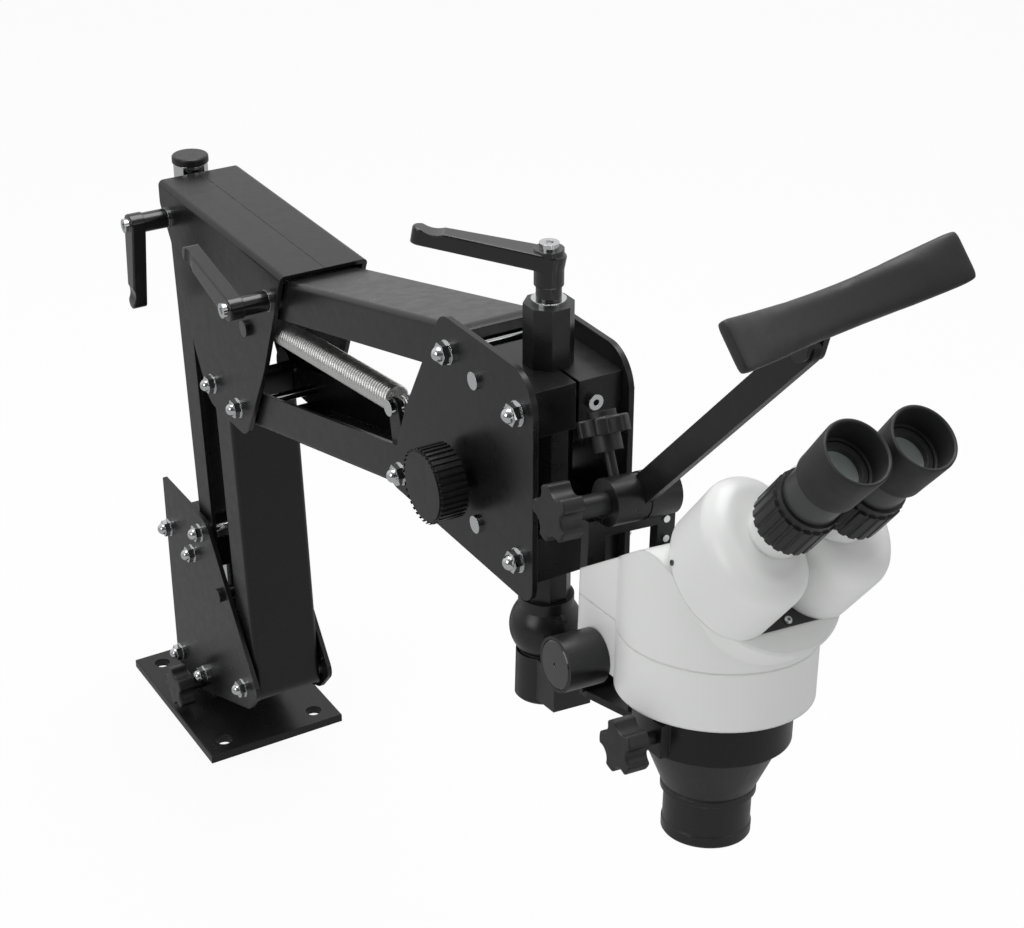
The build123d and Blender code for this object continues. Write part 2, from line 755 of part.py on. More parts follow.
# Top clamp lever on the draw rod
lever_seat = sleeve_top + 2.0
with BuildPart() as top_lever:
    lever(66.0, 7.2, 4.4, 8.0)
    with Locations(Location((0, 0, 0), (0, 10, 0))):
        with Locations((0, 0, -5.5)):
            Cylinder(6.2, 19.0)
        with Locations((0, 0, 1.0)):
            Cylinder(7.2, 18.0)
        with Locations((0, 0, -5.5)):
            Cylinder(rod_r + run, 24.0, mode=Mode.SUBTRACT)
top_lever.part.locate(
    Location((post_x, 0, lever_seat + 15.0), (0, 0, -126)) * Location((0, 0, 0), (0, -10, 0))
)
top_lever.part.label = "top_lever"
export_step(top_lever.part, "parts/top_lever.step")

# Chrome screw on top of the clamp lever
with BuildPart() as top_lever_screw:
    upright(post_x, 0, lever_seat + 25.0, lever_seat + 28.0, 4.8)
    with BuildSketch(Plane.XY.offset(lever_seat + 26.5)) as socket:
        with Locations((post_x, 0)):
            RegularPolygon(2.0, 6, major_radius=False)
    extrude(socket.sketch, amount=3.0, mode=Mode.SUBTRACT)
top_lever_screw.part.label = "top_lever_screw"
export_step(top_lever_screw.part, "parts/top_lever_screw.step")

# Pose of all that hangs from the ball: leaned back, then to the far side
lean_back = radians(pitch)
lean_side = radians(roll)
held = Location(
    Plane(
        origin=(post_x, 0, ball_z),
        x_dir=(cos(lean_back), sin(lean_back) * sin(lean_side), sin(lean_back) * cos(lean_side)),
        z_dir=(-sin(lean_back), cos(lean_back) * sin(lean_side), cos(lean_back) * cos(lean_side)),
    )
)

# Spherical seat between the ball and the collar
with BuildPart() as ball_seat:
    Sphere(ball_r + run + seat_t)
    Sphere(ball_r + run, mode=Mode.SUBTRACT)
    upright(0, 0, -25.0, -12.0, 13.5, mode=Mode.INTERSECT)
ball_seat.part.locate(held)
ball_seat.part.label = "ball_seat"
export_step(ball_seat.part, "parts/ball_seat.step")

# Socket collar under the ball, with the lug that carries the arm
arm_top = arm_z + arm_t
with BuildPart() as socket_collar:
    upright(0, 0, collar_low, -13.8, collar_r)
    chamfer(socket_collar.edges().sort_by(Axis.Z)[0], 1.0)
    flat(((0, -36), (27, -36), (27, arm_z), (20, arm_z), (20, -14), (0, -14)), 0, -11, 11)
    Sphere(ball_r + 2 * run + seat_t, mode=Mode.SUBTRACT)
socket_collar.part.locate(held)
socket_collar.part.label = "socket_collar"
export_step(socket_collar.part, "parts/socket_collar.step")

# Flat arm from the collar to the ring
arm_end = 108.0
frame_front = frame_x + frame_t
with BuildPart() as holder_arm:
    with BuildSketch(Plane.XY.offset(arm_z)):
        Polygon(
            (20, -arm_half),
            (frame_x, -arm_half),
            (frame_x, -arm_wide),
            (frame_front, -arm_wide),
            (arm_end, -arm_half),
            (arm_end, arm_half),
            (frame_front, arm_wide),
            (frame_x, arm_wide),
            (frame_x, arm_half),
            (20, arm_half),
            align=None,
        )
    extrude(amount=arm_t)
holder_arm.part.locate(held)
holder_arm.part.label = "holder_arm"
export_step(holder_arm.part, "parts/holder_arm.step")

# Ring that holds the head, with a rear foot on the arm and a near boss for the thumb screw
with BuildPart() as scope_ring:
    upright(reach, 0, ring_low, ring_low + ring_h, ring_r)
    block(arm_end - 12.0, reach - 25.0, -arm_half, arm_half, ring_low, ring_low + 9.0)
    block(arm_end - 12.0, arm_end - 0.5, -arm_half, arm_half, arm_top, ring_low)
    block(thumb_x - 6, thumb_x + 6, -38.5, -30, thumb_z - 8, thumb_z + 8)
    upright(reach, 0, ring_low - 10, ring_low + ring_h + 5, ring_bore, mode=Mode.SUBTRACT)
    bar(thumb_x, -42.0, -20.0, thumb_z, bolt_r + run, mode=Mode.SUBTRACT)
scope_ring.part.locate(held)
scope_ring.part.label = "scope_ring"
export_step(scope_ring.part, "parts/scope_ring.step")

# Thumb knob of the ring
with BuildPart() as ring_knob:
    lobes(5, 12.5, 11.0)
    fillet(ring_knob.edges().group_by(Axis.Z)[-1], 1.0)
    upright(0, 0, -4.0, 0, 5.0)
    upright(0, 0, -14.0, -4.0, bolt_r)
ring_knob.part.locate(held * Location((thumb_x, -48.0, thumb_z), (90, 0, 0)))
ring_knob.part.label = "ring_knob"
export_step(ring_knob.part, "parts/ring_knob.step")

# Headrest frame: two uprights with a window, and the split hinge barrel on top
with BuildPart() as headrest_frame:
    block(frame_x, frame_x + frame_t, -frame_half, frame_half, arm_top, 88)
    block(frame_x - 1, frame_x + frame_t + 1, -window_half, window_half, 8, window_top, mode=Mode.SUBTRACT)
    block(frame_x, frame_x + frame_t, -17, 19, 80, hinge_z)
    bar(hinge_x, -17, 19, hinge_z, hinge_r)
    block(hinge_x - 16, hinge_x + 16, -2.1, 2.1, 84, 115, mode=Mode.SUBTRACT)
    bar(hinge_x, -20, 20, hinge_z, bolt_r + run, mode=Mode.SUBTRACT)
    with Locations(Location((hinge_x, -9.5, hinge_z), (0, -stud_lean, 0))):
        with Locations((0, 0, 10.0)):
            Cylinder(2.5 + run, 12.0, mode=Mode.SUBTRACT)
headrest_frame.part.locate(held)
headrest_frame.part.label = "headrest_frame"
export_step(headrest_frame.part, "parts/headrest_frame.step")

# Small screws of the holder: two in the frame and two in the arm
with BuildPart() as holder_screws:
    for y, z in ((19.0, 81.5), (19.0, 71.5)):
        with Locations(Location((frame_x + frame_t + 0.6, y, z), (0, 90, 0))):
            Cylinder(1.8, 1.2)
    for y in (-8.0, 8.0):
        for x in (24.5, arm_end - 5.0):
            with Locations((x, y, arm_z - 0.6 if x > 50 else arm_top + 0.6)):
                Cylinder(2.2, 1.2)
holder_screws.part.locate(held)
holder_screws.part.label = "holder_screws"
export_step(holder_screws.part, "parts/holder_screws.step")

# Lobed knob on the hinge bolt of the headrest
with BuildPart() as hinge_knob:
    lobes(5, 14.0, 12.0)
    fillet(hinge_knob.edges().group_by(Axis.Z)[-1], 1.2)
    upright(0, 0, -19.0, 0, 5.5)
    upright(0, 0, -54.0, -19.0, bolt_r)
hinge_knob.part.locate(held * Location((hinge_x, -36.0, hinge_z), (90, 0, 0)))
hinge_knob.part.label = "hinge_knob"
export_step(hinge_knob.part, "parts/hinge_knob.step")

# Lobed knob whose threaded stud presses into the hinge barrel
with BuildPart() as stud_knob:
    lobes(5, 12.5, 8.0)
    fillet(stud_knob.edges().group_by(Axis.Z)[-1], 1.2)
    upright(0, 0, -8.0, 0, 7.0)
    upright(0, 0, 8.0, 11.0, 7.0)
    upright(0, 0, -26.0, -8.0, 2.5)
stud_knob.part.locate(
    held * Location((hinge_x, -9.5, hinge_z), (0, -stud_lean, 0)) * Location((0, 0, 31.0))
)
stud_knob.part.label = "stud_knob"
export_step(stud_knob.part, "parts/stud_knob.step")

# Headrest arm: flat bar on edge with an eye in the barrel
with BuildPart() as headrest_arm:
    with BuildSketch(Plane.XZ.offset(-rest_bar_t / 2)):
        Circle(hinge_r - 0.5)
        with Locations((rest_len / 2, 0)):
            SlotCenterToCenter(rest_len, rest_bar_h)
    extrude(amount=rest_bar_t)
    bar(0, -5, 5, 0, bolt_r + run, mode=Mode.SUBTRACT)
    bar(rest_len, -5, 5, 0, 2.0 + run, mode=Mode.SUBTRACT)
headrest_arm.part.locate(held * Location((hinge_x, 0, hinge_z), (0, -rest_angle, 0)))
headrest_arm.part.label = "headrest_arm"
export_step(headrest_arm.part, "parts/headrest_arm.step")

# Where the pad sits, before its twist
pad_x = 206.8
pad_z = 226.3
rest_tip_x = hinge_x + rest_len * cos(radians(rest_angle))
rest_tip_z = hinge_z + rest_len * sin(radians(rest_angle))
face_x = cos(radians(pad_tilt))
face_z = sin(radians(pad_tilt))
tip_back = (rest_tip_x - pad_x) * face_x + (rest_tip_z - pad_z) * face_z
tip_up = (rest_tip_z - pad_z) * face_x - (rest_tip_x - pad_x) * face_z
pad_place = held * Location((pad_x, 0, pad_z), (0, -pad_tilt, 0))
disc_back = -pad_t - 8.2

# Clevis between the headrest arm and the pad
with BuildPart() as pad_clevis:
    for y in (-5.0, 2.0 + run):
        with BuildSketch(Plane.XZ.offset(-y - 3.0 + run)) as cheek:
            with Locations((tip_back, tip_up)):
                Circle(6.0)
            with Locations((disc_back + 1.0, 0)):
                Rectangle(2.0, 14.0)
            make_hull()
        extrude(cheek.sketch, amount=3.0 - run)
    with Locations(Location((disc_back + 1.0, 0, 0), (0, 90, 0))):
        Cylinder(8.0, 2.0)
        Cylinder(bolt_r + run, 4.0, mode=Mode.SUBTRACT)
    bar(tip_back, -5.0, 5.0, tip_up, 2.0)
pad_clevis.part.locate(pad_place)
pad_clevis.part.label = "pad_clevis"
export_step(pad_clevis.part, "parts/pad_clevis.step")

# Curved back plate of the pad with its swivel pin
with BuildPart() as pad_plate:
    with BuildSketch(Plane.XY.offset(-8.0)):
        with Locations((pad_curve, 0)):
            Circle(pad_curve + pad_t + 2.3)
            Circle(pad_curve + pad_t + 0.3, mode=Mode.SUBTRACT)
        Rectangle(60, 96, mode=Mode.INTERSECT)
    extrude(amount=16.0)
    with Locations(Location((disc_back + 4.0, 0, 0), (0, 90, 0))):
        Cylinder(7.0, 4.0)
    with Locations(Location((disc_back + 1.0, 0, 0), (0, 90, 0))):
        Cylinder(bolt_r, 2.2)
    with Locations((pad_curve, 0)):
        Cylinder(pad_curve + pad_t + 0.3, 20.0, mode=Mode.SUBTRACT)
pad_plate.part.locate(pad_place * Location((0, 0, 0), (pad_twist, 0, 0)))
pad_plate.part.label = "pad_plate"
export_step(pad_plate.part, "parts/pad_plate.step")

# Forehead pad, curved towards the user
with BuildPart() as pad:
    with BuildSketch(Plane.XY.offset(-pad_h / 2)):
        with Locations((pad_curve, 0)):
            Circle(pad_curve + pad_t)
            Circle(pad_curve, mode=Mode.SUBTRACT)
        Rectangle(60, pad_len, mode=Mode.INTERSECT)
    extrude(amount=pad_h)
    fillet(pad.edges(), 3.0)
pad.part.locate(pad_place * Location((0, 0, 0), (pad_twist, 0, 0)))
pad.part.label = "pad"
export_step(pad.part, "parts/pad.step")

# Objective barrel, free to turn in the ring
with BuildPart() as barrel:
    with BuildSketch(Plane.XZ):
        with BuildLine():
            Polyline(
                (28, body_low),
                (ring_bore - run, body_low),
                (ring_bore - run, ring_low),
                (21.6, -18),
                (22.1, -18.5),
                (22.1, -21),
                (20.3, -22),
                (20.3, -37),
                (20.8, -37.6),
                (20.8, -42),
                (20.3, -42.8),
                (18, -42.8),
                (18, -38),
                (15, -38),
                (17, -20),
                (28, 6),
                close=True,
            )
        make_face()
    revolve(axis=Axis.Z)
barrel.part.locate(held * Location((reach, 0, 0)))
barrel.part.label = "barrel"
export_step(barrel.part, "parts/barrel.step")

# Front lens in the barrel's mouth
with BuildPart() as front_lens:
    upright(0, 0, -41, -38, 18.0)
front_lens.part.locate(held * Location((reach, 0, 0)))
front_lens.part.label = "front_lens"
export_step(front_lens.part, "parts/front_lens.step")

# Lower housing of the head, a shell closed below
with BuildPart() as lower_housing:
    extrude(scope_outline(0).moved(Location((0, 0, body_low))), amount=seam_z - body_low)
    extrude(scope_profile(0), amount=160, mode=Mode.INTERSECT)
    with BuildPart(mode=Mode.PRIVATE) as hollow:
        extrude(
            scope_outline(-wall_t).moved(Location((0, 0, body_low + wall_t))), amount=60
        )
        extrude(scope_profile(wall_t), amount=160, mode=Mode.INTERSECT)
    add(hollow.part, mode=Mode.SUBTRACT)
    bar(zoom_x, -60, 60, zoom_z, zoom_shaft + run, mode=Mode.SUBTRACT)
lower_housing.part.locate(held)
lower_housing.part.label = "lower_housing"
export_step(lower_housing.part, "parts/lower_housing.step")

# Upper housing, a shell open below, with the round inclined face that carries the prism housings
face_place = Location((prism_x, 0, prism_z), (0, 90 - eye_angle, 0))
with BuildPart() as upper_housing:
    extrude(scope_outline(0).moved(Location((0, 0, seam_z))), amount=90)
    extrude(scope_profile(0), amount=160, mode=Mode.INTERSECT)
    with BuildPart(mode=Mode.PRIVATE) as disc:
        with Locations(face_place):
            with Locations((0, 0, -face_depth / 2 - 0.6)):
                Cone(face_low_r, face_r, face_depth - 1.2)
            with Locations((0, 0, -0.6)):
                Cone(face_r, face_r - 1.2, 1.2)
        block(0, 300, -80, 80, 0, seam_z, mode=Mode.SUBTRACT)
    add(disc.part)
    with BuildPart(mode=Mode.PRIVATE) as upper_hollow:
        extrude(scope_outline(-wall_t).moved(Location((0, 0, seam_z - 5))), amount=90)
        extrude(scope_profile(wall_t), amount=160, mode=Mode.INTERSECT)
    add(upper_hollow.part, mode=Mode.SUBTRACT)
    with Locations(face_place):
        with Locations((notch_front / 2 + 4.0, 0, -notch_t / 2)):
            Box(notch_front - 8.0, 2 * notch_half, notch_t, mode=Mode.SUBTRACT)
upper_housing.part.locate(held)
upper_housing.part.label = "upper_housing"
export_step(upper_housing.part, "parts/upper_housing.step")

# Zoom knobs on one shaft through the lower housing
zoom_wall = rear_half + 1.2
with BuildPart() as zoom_knobs:
    bar(0, -zoom_end + 2, zoom_end - 2, 0, zoom_shaft)
    for side in (-1, 1):
        with Locations(Location((0, side * (zoom_end + zoom_wall + 0.3) / 2, 0), (90, 0, 0))):
            Cylinder(zoom_r, zoom_end - zoom_wall - 0.3)
        with Locations(Location((0, side * zoom_end, 0), (90, 0, 0))):
            Cylinder(zoom_r - 1.5, 0.8, mode=Mode.SUBTRACT)
zoom_knobs.part.locate(held * Location((zoom_x, 0, zoom_z)))
zoom_knobs.part.label = "zoom_knobs"
export_step(zoom_knobs.part, "parts/zoom_knobs.step")


def prism_plan(side, inset):
    """D-shaped plan of a prism housing about its own axis, flat towards the middle, corners rounded."""
    with BuildSketch() as plan:
        with Locations((-prism_ahead, -side * prism_side)):
            Circle(prism_r - prism_corner)
        with Locations((0, -side * (prism_flat - prism_corner + 30.0))):
            Rectangle(90, 60, mode=Mode.SUBTRACT)
        offset(amount=prism_corner - inset, mode=Mode.REPLACE)
    return plan.sketch.moved(Location((0, 0, 0), (0, 0, prism_open * side)))


def prism(side):
    """Prism housing: rounded crown, hollow with a light hole in its floor, base of the eyepiece."""
    extrude(prism_plan(side, 0), amount=prism_top)
    fillet(edges().group_by(Axis.Z)[-1], 11.0)
    inside = prism_plan(side, wall_t).moved(Location((0, 0, wall_t)))
    extrude(inside, amount=prism_h - 3 * wall_t, mode=Mode.SUBTRACT)
    upright(0, 0, -1, wall_t + 1, prism_bore, mode=Mode.SUBTRACT)
    with Locations((-eye_up, side * eye_out, prism_h + eye_base / 2)):
        Cylinder(12.0, eye_base)


near_prism_place = held * Location((prism_x, -prism_y, prism_z), (0, 90 - eye_angle, 0))
far_prism_place = held * Location((prism_x, prism_y, prism_z), (0, 90 - eye_angle, 0))
near_eye_place = near_prism_place * Location((-eye_up, -eye_out, prism_h + eye_base))
far_eye_place = far_prism_place * Location((-eye_up, eye_out, prism_h + eye_base))

# Prism housings
with BuildPart() as prism_near:
    prism(-1)
prism_near.part.locate(near_prism_place)
prism_near.part.label = "prism_near"
export_step(prism_near.part, "parts/prism_near.step")

with BuildPart() as prism_far:
    prism(1)
prism_far.part.locate(far_prism_place)
prism_far.part.label = "prism_far"
export_step(prism_far.part, "parts/prism_far.step")

# Black plate let into the face where the prism housings leave a notch, with its screw
with BuildPart() as notch_strip:
    with Locations((notch_front / 2 + 4.0, 0, -notch_t / 2)):
        Box(notch_front - 8.0, 2 * notch_half, notch_t)
    upright(notch_front - 3.0, 0, 0, 0.8, 1.7)
notch_strip.part.locate(held * face_place)
notch_strip.part.label = "notch_strip"
export_step(notch_strip.part, "parts/notch_strip.step")


def dioptre():
    """Ribbed ring of an eyepiece, axis along Z."""
    with BuildSketch() as ring:
        Circle(15.0)
        with PolarLocations(15.4, 20):
            Circle(1.1, mode=Mode.SUBTRACT)
        Circle(12.0, mode=Mode.SUBTRACT)
    extrude(ring.sketch, amount=18.0)
    with BuildSketch(Plane.XY.offset(18.0)) as collar:
        Circle(14.0)
        Circle(12.0, mode=Mode.SUBTRACT)
    extrude(collar.sketch, amount=4.0)


def eye_tube():
    """Eyepiece tube with a seat for its lens."""
    upright(0, 0, 0, 46, 12.0)
    upright(0, 0, 22, 35, 12.6)
    upright(0, 0, 30, 47, 9.5, mode=Mode.SUBTRACT)


def eyecup():
    """Rubber cup, slightly flared towards its open rim."""
    with Locations((0, 0, 47.65)):
        Cone(14.2, 15.3, 24.7)
    upright(0, 0, 35, 61, 12.3, mode=Mode.SUBTRACT)
    upright(0, 0, 47, 61, 13.4, mode=Mode.SUBTRACT)


# Near eyepiece
with BuildPart() as dioptre_near:
    dioptre()
dioptre_near.part.locate(near_eye_place)
dioptre_near.part.label = "dioptre_near"
export_step(dioptre_near.part, "parts/dioptre_near.step")

with BuildPart() as tube_near:
    eye_tube()
tube_near.part.locate(near_eye_place)
tube_near.part.label = "tube_near"
export_step(tube_near.part, "parts/tube_near.step")

with BuildPart() as eyecup_near:
    eyecup()
eyecup_near.part.locate(near_eye_place)
eyecup_near.part.label = "eyecup_near"
export_step(eyecup_near.part, "parts/eyecup_near.step")

with BuildPart() as lens_near:
    upright(0, 0, 40, 43, 9.5)
lens_near.part.locate(near_eye_place)
lens_near.part.label = "lens_near"
export_step(lens_near.part, "parts/lens_near.step")

# Far eyepiece
with BuildPart() as dioptre_far:
    dioptre()
dioptre_far.part.locate(far_eye_place)
dioptre_far.part.label = "dioptre_far"
export_step(dioptre_far.part, "parts/dioptre_far.step")

with BuildPart() as tube_far:
    eye_tube()
tube_far.part.locate(far_eye_place)
tube_far.part.label = "tube_far"
export_step(tube_far.part, "parts/tube_far.step")

with BuildPart() as eyecup_far:
    eyecup()
eyecup_far.part.locate(far_eye_place)
eyecup_far.part.label = "eyecup_far"
export_step(eyecup_far.part, "parts/eyecup_far.step")

with BuildPart() as lens_far:
    upright(0, 0, 40, 43, 9.5)
lens_far.part.locate(far_eye_place)
lens_far.part.label = "lens_far"
export_step(lens_far.part, "parts/lens_far.step")
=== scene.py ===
import math

import bmesh
import bpy
from mathutils import Matrix, Vector


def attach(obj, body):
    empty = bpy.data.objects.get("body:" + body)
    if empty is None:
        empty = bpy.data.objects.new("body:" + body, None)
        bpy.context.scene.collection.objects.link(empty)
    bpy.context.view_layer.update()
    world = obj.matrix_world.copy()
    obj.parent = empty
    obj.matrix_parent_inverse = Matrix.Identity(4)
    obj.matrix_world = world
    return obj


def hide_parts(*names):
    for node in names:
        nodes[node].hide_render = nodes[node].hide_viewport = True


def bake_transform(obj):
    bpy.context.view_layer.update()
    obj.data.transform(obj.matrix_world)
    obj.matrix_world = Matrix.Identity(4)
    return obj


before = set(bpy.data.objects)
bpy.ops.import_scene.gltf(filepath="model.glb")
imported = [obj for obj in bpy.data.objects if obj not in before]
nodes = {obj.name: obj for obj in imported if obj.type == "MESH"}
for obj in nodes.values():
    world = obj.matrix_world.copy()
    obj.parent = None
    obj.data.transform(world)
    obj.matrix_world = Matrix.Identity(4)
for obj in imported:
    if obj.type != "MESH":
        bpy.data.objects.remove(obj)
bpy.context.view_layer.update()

# The camera stands in front of the head, to its left and well above the bench.
# It is a long lens far away, so the arm's parallel links stay nearly parallel.
camera = bpy.data.objects.new("camera", bpy.data.cameras.new("camera"))
bpy.context.collection.objects.link(camera)
bpy.context.scene.camera = camera
camera_place = (1.20474, -0.48181, 0.87687)
camera_turn = math.radians(59.35)
camera_rise = math.radians(28.22)
towards_camera = Vector(
    (
        math.sin(camera_turn) * math.cos(camera_rise),
        -math.cos(camera_turn) * math.cos(camera_rise),
        math.sin(camera_rise),
    )
)
camera.location = camera_place
camera.rotation_mode = "QUATERNION"
camera.rotation_quaternion = (-towards_camera).to_track_quat("-Z", "Y")
camera.data.sensor_width = 36.0
camera.data.lens = 74.76
camera.data.clip_end = 20.0

# The studio: a pale floor that keeps a faint shadow, and a white room.
# Camera and glass rays see the white itself, and everything diffuse gets plain soft light.
# Shiny surfaces mirror a room that is white behind the stand, dim in front of it and grey below.
scene = bpy.context.scene
scene.view_settings.view_transform = "Standard"
world = bpy.data.worlds.new("room")
scene.world = world
world.use_nodes = True
room = world.node_tree
room.nodes.clear()
room_rays = room.nodes.new("ShaderNodeLightPath")
seen_directly = room.nodes.new("ShaderNodeMath")
seen_directly.operation = "MAXIMUM"
room.links.new(room_rays.outputs["Is Camera Ray"], seen_directly.inputs[0])
room.links.new(room_rays.outputs["Is Transmission Ray"], seen_directly.inputs[1])
room_light = room.nodes.new("ShaderNodeBackground")
room_light.inputs["Color"].default_value = (1.0, 1.0, 1.0, 1)
room_light.inputs["Strength"].default_value = 0.42
room_white = room.nodes.new("ShaderNodeBackground")
room_white.inputs["Color"].default_value = (1.0, 1.0, 1.0, 1)
room_white.inputs["Strength"].default_value = 1.0
room_direction = room.nodes.new("ShaderNodeTexCoord")
room_side = room.nodes.new("ShaderNodeVectorMath")
room_side.operation = "DOT_PRODUCT"
room_side.inputs[1].default_value = (0.82, -0.49, -0.3)
room.links.new(room_direction.outputs["Generated"], room_side.inputs[0])
room_shade = room.nodes.new("ShaderNodeMapRange")
room_shade.inputs["From Min"].default_value = -0.35
room_shade.inputs["From Max"].default_value = 0.55
room_shade.inputs["To Min"].default_value = 0.95
room_shade.inputs["To Max"].default_value = 0.1
room.links.new(room_side.outputs["Value"], room_shade.inputs["Value"])
room_mirrored = room.nodes.new("ShaderNodeBackground")
room.links.new(room_shade.outputs["Result"], room_mirrored.inputs["Strength"])
room_glossy = room.nodes.new("ShaderNodeMixShader")
room.links.new(room_rays.outputs["Is Glossy Ray"], room_glossy.inputs["Fac"])
room.links.new(room_light.outputs[0], room_glossy.inputs[1])
room.links.new(room_mirrored.outputs[0], room_glossy.inputs[2])
room_choice = room.nodes.new("ShaderNodeMixShader")
room.links.new(seen_directly.outputs[0], room_choice.inputs["Fac"])
room.links.new(room_glossy.outputs[0], room_choice.inputs[1])
room.links.new(room_white.outputs[0], room_choice.inputs[2])
room_end = room.nodes.new("ShaderNodeOutputWorld")
room.links.new(room_choice.outputs[0], room_end.inputs["Surface"])

floor_half, floor_top = 4.0, -0.0003
floor_mesh = bpy.data.meshes.new("floor")
floor_mesh.from_pydata(
    [
        (-floor_half, -floor_half, floor_top),
        (floor_half, -floor_half, floor_top),
        (floor_half, floor_half, floor_top),
        (-floor_half, floor_half, floor_top),
    ],
    [],
    [(0, 1, 2, 3)],
)
floor = bpy.data.objects.new("floor", floor_mesh)
bpy.context.collection.objects.link(floor)
floor_material = bpy.data.materials.new("pale_floor")
floor_material.use_nodes = True
ground = floor_material.node_tree
ground.nodes.clear()
ground_matt = ground.nodes.new("ShaderNodeBsdfDiffuse")
ground_matt.inputs["Color"].default_value = (0.92, 0.92, 0.92, 1)
ground_white = ground.nodes.new("ShaderNodeEmission")
ground_rays = ground.nodes.new("ShaderNodeLightPath")
ground_mirrored = ground.nodes.new("ShaderNodeMapRange")
ground_mirrored.inputs["To Min"].default_value = 1.0
ground_mirrored.inputs["To Max"].default_value = 0.4
ground.links.new(ground_rays.outputs["Is Glossy Ray"], ground_mirrored.inputs["Value"])
ground.links.new(ground_mirrored.outputs["Result"], ground_white.inputs["Strength"])
ground_direct = ground.nodes.new("ShaderNodeMath")
ground_direct.operation = "MAXIMUM"
ground.links.new(ground_rays.outputs["Is Camera Ray"], ground_direct.inputs[0])
ground.links.new(ground_rays.outputs["Is Glossy Ray"], ground_direct.inputs[1])
ground_any = ground.nodes.new("ShaderNodeMath")
ground_any.operation = "MAXIMUM"
ground.links.new(ground_direct.outputs[0], ground_any.inputs[0])
ground.links.new(ground_rays.outputs["Is Transmission Ray"], ground_any.inputs[1])
shadow_kept = ground.nodes.new("ShaderNodeMath")
shadow_kept.operation = "MULTIPLY"
shadow_kept.inputs[1].default_value = 0.93
ground.links.new(ground_any.outputs[0], shadow_kept.inputs[0])
ground_choice = ground.nodes.new("ShaderNodeMixShader")
ground.links.new(shadow_kept.outputs[0], ground_choice.inputs["Fac"])
ground.links.new(ground_matt.outputs[0], ground_choice.inputs[1])
ground.links.new(ground_white.outputs[0], ground_choice.inputs[2])
ground_end = ground.nodes.new("ShaderNodeOutputMaterial")
ground.links.new(ground_choice.outputs[0], ground_end.inputs["Surface"])
floor_mesh.materials.append(floor_material)

lamp_target = Vector((0.25, 0.0, 0.25))
for lamp_name, lamp_place, lamp_size, lamp_power in (
    ("overhead", (0.1, 0.2, 1.9), 1.3, 21.0),
    ("front_left", (0.7, -1.7, 1.1), 1.0, 8.0),
    ("front_right", (1.9, 0.6, 0.9), 0.9, 2.0),
):
    lamp_data = bpy.data.lights.new(lamp_name, "AREA")
    lamp_data.size = lamp_size
    lamp_data.energy = lamp_power
    lamp = bpy.data.objects.new(lamp_name, lamp_data)
    lamp.location = lamp_place
    lamp.rotation_mode = "QUATERNION"
    lamp.rotation_quaternion = (lamp_target - Vector(lamp_place)).to_track_quat("-Z", "Y")
    bpy.context.collection.objects.link(lamp)


# Base plate, side plates, blocks and channels: folded and milled steel, powder-coated satin black.
# The coat has a faint pebble, softens every edge, and is rubbed a little brighter where hands
# and spanners reach.
def effect_group(name, inputs, output):
    """Starts a shader group with number inputs and one number output."""
    group = bpy.data.node_groups.new(name, "ShaderNodeTree")
    for label, default in inputs:
        socket = group.interface.new_socket(
            name=label, in_out="INPUT", socket_type="NodeSocketFloat"
        )
        socket.default_value = default
    group.interface.new_socket(name=output, in_out="OUTPUT", socket_type="NodeSocketFloat")
    return group, group.nodes.new("NodeGroupInput"), group.nodes.new("NodeGroupOutput")


clouds_group, group_in, group_out = effect_group("clouds", (("Scale", 40.0),), "Value")
place_on_part = clouds_group.nodes.new("ShaderNodeTexCoord")
soft_noise = clouds_group.nodes.new("ShaderNodeTexNoise")
soft_noise.inputs["Detail"].default_value = 4.0
clouds_group.links.new(place_on_part.outputs["Object"], soft_noise.inputs["Vector"])
clouds_group.links.new(group_in.outputs["Scale"], soft_noise.inputs["Scale"])
clouds_group.links.new(soft_noise.outputs["Fac"], group_out.inputs["Value"])

grain_group, group_in, group_out = effect_group("grain", (("Scale", 1500.0),), "Height")
place_on_part = grain_group.nodes.new("ShaderNodeTexCoord")
pebble = grain_group.nodes.new("ShaderNodeTexNoise")
pebble.inputs["Detail"].default_value = 2.0
pebble.inputs["Roughness"].default_value = 0.6
grain_group.links.new(place_on_part.outputs["Object"], pebble.inputs["Vector"])
grain_group.links.new(group_in.outputs["Scale"], pebble.inputs["Scale"])
grain_group.links.new(pebble.outputs["Fac"], group_out.inputs["Height"])

wear_group, group_in, group_out = effect_group(
    "edge_wear", (("Radius", 0.0008), ("Patches", 90.0)), "Mask"
)
rounded_edge = wear_group.nodes.new("ShaderNodeBevel")
rounded_edge.samples = 4
wear_group.links.new(group_in.outputs["Radius"], rounded_edge.inputs["Radius"])
flat_face = wear_group.nodes.new("ShaderNodeNewGeometry")
agreement = wear_group.nodes.new("ShaderNodeVectorMath")
agreement.operation = "DOT_PRODUCT"
wear_group.links.new(rounded_edge.outputs["Normal"], agreement.inputs[0])
wear_group.links.new(flat_face.outputs["Normal"], agreement.inputs[1])
edge_only = wear_group.nodes.new("ShaderNodeMapRange")
edge_only.inputs["From Min"].default_value = 0.97
edge_only.inputs["From Max"].default_value = 0.8
wear_group.links.new(agreement.outputs["Value"], edge_only.inputs["Value"])
place_on_part = wear_group.nodes.new("ShaderNodeTexCoord")
patches = wear_group.nodes.new("ShaderNodeTexNoise")
patches.inputs["Detail"].default_value = 5.0
wear_group.links.new(place_on_part.outputs["Object"], patches.inputs["Vector"])
wear_group.links.new(group_in.outputs["Patches"], patches.inputs["Scale"])
patchy = wear_group.nodes.new("ShaderNodeMapRange")
patchy.inputs["From Min"].default_value = 0.45
patchy.inputs["From Max"].default_value = 0.65
wear_group.links.new(patches.outputs["Fac"], patchy.inputs["Value"])
worn_patches = wear_group.nodes.new("ShaderNodeMath")
worn_patches.operation = "MULTIPLY"
